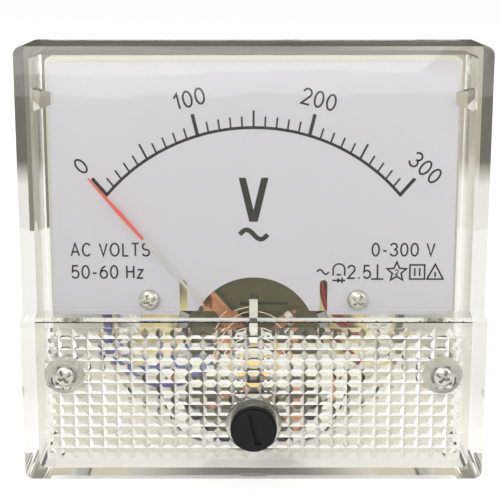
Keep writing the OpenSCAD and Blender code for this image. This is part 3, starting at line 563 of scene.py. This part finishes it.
def pan_head(x, z, seat, radius, height, shank_r, tip, turn):
    """Pan-head screw along Y: a domed profile turned about its axis, with a cross recess sunk in the dome."""
    rings, around = 40, 96
    r = radius * np.linspace(0, 1, rings) ** 0.8
    dome = seat - height * (0.35 + 0.65 * np.sqrt(np.clip(1 - (r / radius) ** 2.6, 0, 1)))
    head = turned(0, 0, r, dome, around)
    c, s = math.cos(turn), math.sin(turn)
    u, v = c * head[..., 0] + s * head[..., 2], c * head[..., 2] - s * head[..., 0]
    arms = [np.clip((0.17 * radius - abs(p)) / (0.1 * radius), 0, 1)
            * np.clip((0.62 * radius - abs(q)) / (0.2 * radius), 0, 1) for p, q in ((u, v), (v, u))]
    head[..., 1] += 0.55 * height * np.maximum(*arms)
    shank_radii = [radius, shank_r, shank_r, 0.6 * shank_r, 0.0]
    shank_depths = [seat, seat, tip - 0.4, tip, tip]
    shank = turned(0, 0, shank_radii, shank_depths, around)
    return skin(np.concatenate([head, shank]) + (x, 0, z), round_v=True)


def thread(x, z, start, end, radius, pitch, depth, around=36):
    """Rolled thread along Y: the radius falls by depth in a triangle wave that winds once round per pitch."""
    y = np.arange(start, end + pitch / 16, pitch / 8)
    a = np.linspace(0, TURN, around, endpoint=False)
    phase = (y[:, None] / pitch + a / TURN) % 1.0
    fade = np.clip((end - y) / (1.2 * pitch), 0, 1)[:, None]
    r = radius - depth * abs(2 * phase - 1) - (1 - fade) * depth
    grid = np.stack([x + r * np.cos(a), np.repeat(y[:, None], around, 1), z + r * np.sin(a)], -1)
    ends = [turned(x, z, [0], [depth_y], around) for depth_y in (start, end)]
    return skin(np.concatenate([ends[0], grid, ends[1]]), round_v=True)


def plain_rod(x, z, start, end, radius, edge=0.15):
    """Rod along Y with a small chamfer at both ends."""
    return skin(turned(x, z, [0, radius - edge, radius, radius, radius - edge, 0],
                       [start, start, start + edge, end - edge, end, end]), round_v=True)


def hexagon_nut(x, z, start, end, corner, bore):
    """Hexagon along Y with a round bore, its corners turned off at both faces."""
    around = 96
    a = np.linspace(0, TURN, around, endpoint=False)
    flat = corner * math.cos(TURN / 12)
    wall = flat / np.cos((a % (TURN / 6)) - TURN / 12)
    face, drop = 0.97 * flat, 0.28
    rows = [(np.full(around, face), start), (np.minimum(wall, face + 0.6 * drop), start + 0.5 * drop),
            (np.minimum(wall, corner), start + drop), (np.minimum(wall, corner), end - drop),
            (np.minimum(wall, face + 0.6 * drop), end - 0.5 * drop), (np.full(around, face), end),
            (np.full(around, bore), end), (np.full(around, bore), start)]
    rings = [np.stack([x + r * np.cos(a), np.full(around, y), z + r * np.sin(a)], 1) for r, y in rows]
    return skin(np.stack(rings), round_u=True, round_v=True)


def tube(points, radius, steps=8, sides=14):
    """Lead: a circle carried along a smooth cubic through the route's points."""
    p = np.asarray(points, float)
    p = np.concatenate([[2 * p[0] - p[1]], p, [2 * p[-1] - p[-2]]])
    t = np.linspace(0, 1, steps, endpoint=False)[None, :, None]
    a, b, c, d = p[:-3, None], p[1:-2, None], p[2:-1, None], p[3:, None]
    bend, twist = 2 * a - 5 * b + 4 * c - d, 3 * b - a - 3 * c + d
    line = 0.5 * (2 * b + (c - a) * t + bend * t ** 2 + twist * t ** 3)
    line = np.concatenate([line.reshape(-1, 3), p[-2:-1]])
    ahead = np.gradient(line, axis=0)
    ahead /= np.linalg.norm(ahead, axis=1)[:, None]
    side = np.cross(ahead, (0.31, 0.2, 0.93))
    side /= np.linalg.norm(side, axis=1)[:, None]
    up = np.cross(ahead, side)
    angle = np.linspace(0, TURN, sides, endpoint=False)[:, None]
    ring = radius * (np.cos(angle) * side[:, None] + np.sin(angle) * up[:, None])
    return skin(line[:, None] + ring, round_v=True, caps=True)


def make_finishes():
    """Every finish, under the slot or the node that takes it."""
    steel = metal("nickel_plate", (0.66, 0.655, 0.60, 1), (0.53, 0.525, 0.48, 1))
    brass = metal("turned_brass", (0.78, 0.58, 0.24, 1), (0.66, 0.46, 0.18, 1))
    return {
        "clear_cover": clear_moulding(),
        "ivory_plastic": moulded("ivory_moulding", (0.93, 0.905, 0.80, 1), (0.96, 0.935, 0.85, 1)),
        "black_plastic": moulded("black_moulding", (0.008, 0.009, 0.009, 1), (0.014, 0.015, 0.015, 1),
                                 5.0, 0.5, 0.15),
        "dial_white": enamel("dial_enamel", (0.725, 0.72, 0.80, 1), (0.755, 0.75, 0.82, 1)),
        "pointer_red": pointer_paint(),
        "copper_winding": winding(),
        "former": metal("former_lacquer", (0.05, 0.10, 0.10, 1), (0.09, 0.16, 0.15, 1), 0.4),
        "steel_bright": steel,
        "tinned": metal("tinned_sheet", (0.70, 0.69, 0.64, 1), (0.56, 0.55, 0.50, 1), 0.32),
        "front_hairspring": metal("pale_bronze", (0.70, 0.62, 0.48, 1), (0.58, 0.48, 0.32, 1), 0.25),
        "bronze_spring": metal("spring_bronze", (0.80, 0.62, 0.36, 1), (0.72, 0.54, 0.30, 1), 0.2),
        "brass": brass,
        "front_jewel_screw": metal("pale_brass", (0.72, 0.62, 0.40, 1), (0.60, 0.50, 0.30, 1)),
        "balance_weights": metal("solder", (0.62, 0.60, 0.55, 1), (0.50, 0.48, 0.43, 1), 0.38),
        "magnet": sintered("magnet_olive", (0.09, 0.084, 0.03, 1), (0.31, 0.28, 0.10, 1)),
        "passivated": passivated("yellow_passivated"),
        "die_cast": metal("die_cast", (0.66, 0.66, 0.64, 1), (0.54, 0.54, 0.52, 1), 0.5, (4.0, 4.0, 4.0)),
        "resistor_blue": film_resistor(),
        "board_green": laminate(),
        "blue_insulation": moulded("blue_insulation", (0.08, 0.09, 0.33, 1), (0.13, 0.14, 0.44, 1),
                                   4.0, 0.45),
        "red_insulation": moulded("red_insulation", (0.34, 0.03, 0.02, 1), (0.46, 0.06, 0.03, 1),
                                  4.0, 0.45),
    }


def dress_nodes(finishes):
    """Gives every CAD node the finish of its own name, or of its record slot."""
    chosen = {row["node"]: row["material_slot"] for row in frame["record"]["subparts"]}
    for name, node in frame["nodes"].items():
        node.data.materials.clear()
        node.data.materials.append(finishes.get(name) or finishes[chosen[name]])


def in_cells(place, middle, size, cell):
    """Distance of places along one side of the prism field from the middle of their cell."""
    return (place - middle + size / 2) % cell - cell / 2


def prism_cover(finish):
    """Clear cover with its prism cells sunk as pits: a copy of the cover, some points set to new places.

    From the ridge on a cell's border the level falls in a straight slope to a flat floor. Of the two slopes,
    along and across, the one that has fallen less counts. The field's own border stays where it is. The lugs
    for the dial narrow from root to tip. The cover casts no shadow, so the lamps reach the dial through it.
    """
    merged = bpy.data.meshes.new("cover_merged")
    work = bmesh.new()
    work.from_mesh(frame["nodes"]["front_cover"].data)
    bmesh.ops.remove_doubles(work, verts=work.verts, dist=1e-7)
    work.to_mesh(merged)
    work.free()
    points, corners = np.empty(3 * len(merged.vertices)), np.empty(len(merged.loops), int)
    merged.vertices.foreach_get("co", points)
    merged.loops.foreach_get("vertex_index", corners)
    bpy.data.meshes.remove(merged)
    points = points.reshape(-1, 3) / MM
    x, y, z = points.T
    (wide, high), (cell_w, cell_h), (floor_u, floor_v) = FIELD_SIZE, CELL_SIZE, PIT_FLOOR
    near = 0.01
    inside = (abs(x) < wide / 2 - near) & (abs(z - FIELD_Z) < high / 2 - near)
    inside &= abs(y - FIELD_Y) < PRISM_H + near
    u, v = in_cells(x, 0, wide, cell_w), in_cells(z, FIELD_Z, high, cell_h)
    corner = inside & (abs(abs(u) - cell_w / 2 + CELL_BEVEL) < near)
    corner &= abs(abs(v) - cell_h / 2 + CELL_BEVEL) < near
    x[corner] += (np.sign(u) * floor_u - u)[corner]
    z[corner] += (np.sign(v) * floor_v - v)[corner]
    u, v = in_cells(x, 0, wide, cell_w), in_cells(z, FIELD_Z, high, cell_h)
    fall_u = (cell_w / 2 - abs(u)) / (cell_w / 2 - floor_u)
    fall_v = (cell_h / 2 - abs(v)) / (cell_h / 2 - floor_v)
    fall = np.clip(np.minimum(fall_u, fall_v), 0, 1)
    y[inside] = (FIELD_Y + PIT_DEPTH * (0.5 - fall))[inside]
    lug = (abs(z - LUG_Z) < LUG_HALF) & (y > LUG_Y[0]) & (y < LUG_Y[1])
    for reach, half in LUG_ENDS:
        end = lug & (abs(abs(x) - reach) < 2 * near)
        z[end] = LUG_Z + half * np.sign(z - LUG_Z)[end]
    triangles = corners.reshape(-1, 3).tolist()
    cover = piece("cover_with_prisms", [(points, triangles)], finish, "case", True,
                  ["front_cover"], 18)
    cover.visible_shadow = False


def dress_front(finishes):
    """Clear cover, dial print and the four screws seen from the front, each screw turned its own way."""
    prism_cover(finishes["clear_cover"])
    ink = dial_ink("dial_ink", (0.006, 0.006, 0.008, 1), (0.014, 0.013, 0.015, 1))
    dial_scale(ink)
    class_symbols(ink)
    unit_marks(dial_ink("unit_ink", (0.012, 0.0125, 0.009, 1), (0.020, 0.020, 0.015, 1)))
    steel = finishes["steel_bright"]
    cover = [pan_head(s * COVER_SCREW_X, turn=t, **COVER_SCREW) for s, t in ((-1, 0.5), (1, 1.1))]
    piece("cover_screw_set", cover, steel, "case", True, ["cover_screws"])
    dial = [pan_head(s * DIAL_SCREW_X, turn=t, **DIAL_SCREW) for s, t in ((-1, 0.35), (1, 0.9))]
    piece("dial_screw_set", dial, steel, "case", True, ["dial_screws"])


def dress_inside(finishes):
    """Both leads as smooth tubes."""
    for lead, slot, route in (("blue_lead", "blue_insulation", BLUE_ROUTE),
                              ("red_lead", "red_insulation", RED_ROUTE)):
        piece(lead + "_smooth", [tube(route, LEAD_R)], finishes[slot], "case", True, [lead])


def dress_back(finishes):
    """Threads of the mounting studs and terminals, and chamfered nuts."""
    studs = [part for x, z in STUD_PLACES
             for part in (thread(x, z, **STUD_THREAD), plain_rod(x, z, **STUD_HEAD))]
    steel, brass = finishes["steel_bright"], finishes["brass"]
    piece("mounting_stud_threads", studs, steel, "case", True, ["mounting_studs"])
    sides = (-TERMINAL_X, TERMINAL_X)
    terminals = [part for x in sides for part in (thread(x, TERMINAL_Z, **TERMINAL_THREAD),
                                                  hexagon_nut(x, TERMINAL_Z, **TERMINAL_HEAD))]
    piece("terminal_threads", terminals, brass, "case", True, ["terminal_studs"])
    for name, node, start, end, corner in NUT_SETS:
        nuts = [hexagon_nut(x, TERMINAL_Z, start, end, corner, NUT_BORE) for x in sides]
        piece(name, nuts, brass, "case", True, [node])


def add_lamp(name, place, size, power):
    """A round soft lamp, placed in metres, that points at the frame's origin."""
    lamp = bpy.data.lights.new(name, "AREA")
    lamp.shape = "DISK"
    lamp.size = size
    lamp.energy = power
    holder = bpy.data.objects.new(name, lamp)
    holder.location = place
    holder.rotation_euler = (-Vector(place)).to_track_quat("-Z", "Y").to_euler()
    bpy.context.scene.collection.objects.link(holder)


def stage_sheet(name, corners, material):
    """A flat sheet of the stage, given by four corners in millimetres."""
    mesh = bpy.data.meshes.new(name)
    mesh.from_pydata([tuple(MM * v for v in corner) for corner in corners], [], [(0, 1, 2, 3)])
    mesh.materials.append(material)
    sheet = bpy.data.objects.new(name, mesh)
    bpy.context.scene.collection.objects.link(sheet)
    return sheet


def light_stage():
    """White world for the eye and mirrors, softer light for surfaces, a white floor whose glow in glass and
    mirrors has painted shade behind the meter, and four soft lamps.
    """
    world = bpy.data.worlds.new("studio")
    world.use_nodes = True
    sky = Finish("studio", world.node_tree)
    back = sky.node("Background", {}, {"Color": grey(1), "Strength": 0.66 + 0.34 * sky.seen()})
    sky.node("OutputWorld", {}, {"Surface": back})
    bpy.context.scene.world = world
    add_lamp("key_lamp", (-0.35, -0.55, 0.60), 0.45, 1.25)
    add_lamp("fill_lamp", (0.55, -0.45, 0.30), 0.5, 0.8)
    add_lamp("front_lamp", (-0.05, -0.60, 0.10), 0.4, 0.7)
    add_lamp("rear_lamp", (0.1, 0.6, 0.55), 0.5, 1.0)
    f = Finish("floor_white")
    eye = f.ray("Is Camera Ray")
    # Painted shade: what glass and mirrors see of the floor glows 0.42 up to y = 4 mm and falls to 0.14 from
    # y = 30 mm, darker behind the meter.
    painted_glow_in_glass_and_mirrors = f.ramp(0.5 + f.along((0, 1 / 200, 0)), [(0.52, grey(0.42)), (0.65, grey(0.14))])
    strength = 0.38 * eye + painted_glow_in_glass_and_mirrors * f.seen() * (1 - eye)
    glow = f.node("Emission", {}, {"Color": grey(1), "Strength": strength})
    lit = f.node("AddShader", {}, {0: f.surface(grey(0.9), 0.9, Specular_IOR_Level=0.0), 1: glow})
    half = 4000
    around = ((-half, -half), (half, -half), (half, half), (-half, half))
    stage_sheet("floor", [(x, y, FLOOR_Z) for x, y in around], f.show(lit))


def painted_reflection_cards():
    """Cards that only glass and polish see, painting reflections: one behind glows and draws the clear walls,
    one before keeps haze off with a painted dark reflection.

    The card behind glows grey, darker in its middle, with a pale band across, and fades to white at its foot.
    """
    # Painted reflection: this card glows, and glass and polish show its grey, its darker middle, its lighter
    # right side, its pale band 60 to 67 mm up and its white foot.
    f = Finish("reflection_card_behind")
    across = 0.5 + f.along((1 / 160, 0, 0))
    height = f.along((0, 0, 1), (0, 0, FLOOR_Z)) + 6 * (f.noise(0.04) - 0.5)
    tint = f.ramp(across, [(0.15, (0.22, 0.215, 0.17, 1)), (0.4, (0.13, 0.122, 0.10, 1)),
                           (0.6, (0.13, 0.122, 0.10, 1)), (0.85, (0.46, 0.42, 0.34, 1))])
    tint = f.blend((height - 60) * 0.5, tint, (0.62, 0.59, 0.47, 1))
    tint = f.blend((height - 67) * 0.5, tint, (0.16, 0.155, 0.125, 1))
    foot = 32 * f.ramp(across, [(0.15, grey(0.06)), (0.38, grey(0.6)), (0.62, grey(0.6)),
                                (0.85, grey(0.66))]) - 8
    tint = f.blend((height - foot) * (1 / 6), (0.86, 0.85, 0.82, 1), tint)
    glow = f.show(f.node("Emission", {}, {"Color": tint}))
    half, back = CARD_BEHIND_HALF, CARD_BEHIND_Y
    behind = stage_sheet("reflection_card_behind", [(-half, back, FLOOR_Z), (half, back, FLOOR_Z), (half, back, half),
                                         (-half, back, half)], glow)
    # Painted reflection: a dark sheet lying before the meter that only mirrors see, so the window and polish
    # reflect dark there instead of the white world.
    f = Finish("dark_reflection_card_before")
    dark = f.show(f.surface((0.085, 0.083, 0.072, 1), 0.9, Specular_IOR_Level=0.0))
    half, (far, close), level = CARD_BEFORE_HALF, CARD_BEFORE_Y, FLOOR_Z + 1
    before = stage_sheet("dark_reflection_card_before", [(-half, far, level), (half, far, level), (half, close, level),
                                         (-half, close, level)], dark)
    for card in (behind, before):
        card.visible_camera = False
        card.visible_diffuse = False
        card.visible_shadow = False
    before.visible_transmission = False


def set_camera():
    """The photograph's view: from a little above, on the meter's middle."""
    lens = bpy.data.cameras.new("camera")
    lens.lens = FOCAL_LENGTH
    lens.sensor_width = 36.0
    lens.clip_start = 0.005
    eye = bpy.data.objects.new("camera", lens)
    eye.location = EYE_PLACE
    eye.rotation_euler = (Vector(EYE_TARGET) - eye.location).to_track_quat("-Z", "Y").to_euler()
    bpy.context.scene.collection.objects.link(eye)
    bpy.context.scene.camera = eye


set_camera()
light_stage()
painted_reflection_cards()
bpy.context.scene.view_settings.view_transform = "Standard"
FINISHES = make_finishes()
dress_nodes(FINISHES)
dress_front(FINISHES)
dress_inside(FINISHES)
dress_back(FINISHES)
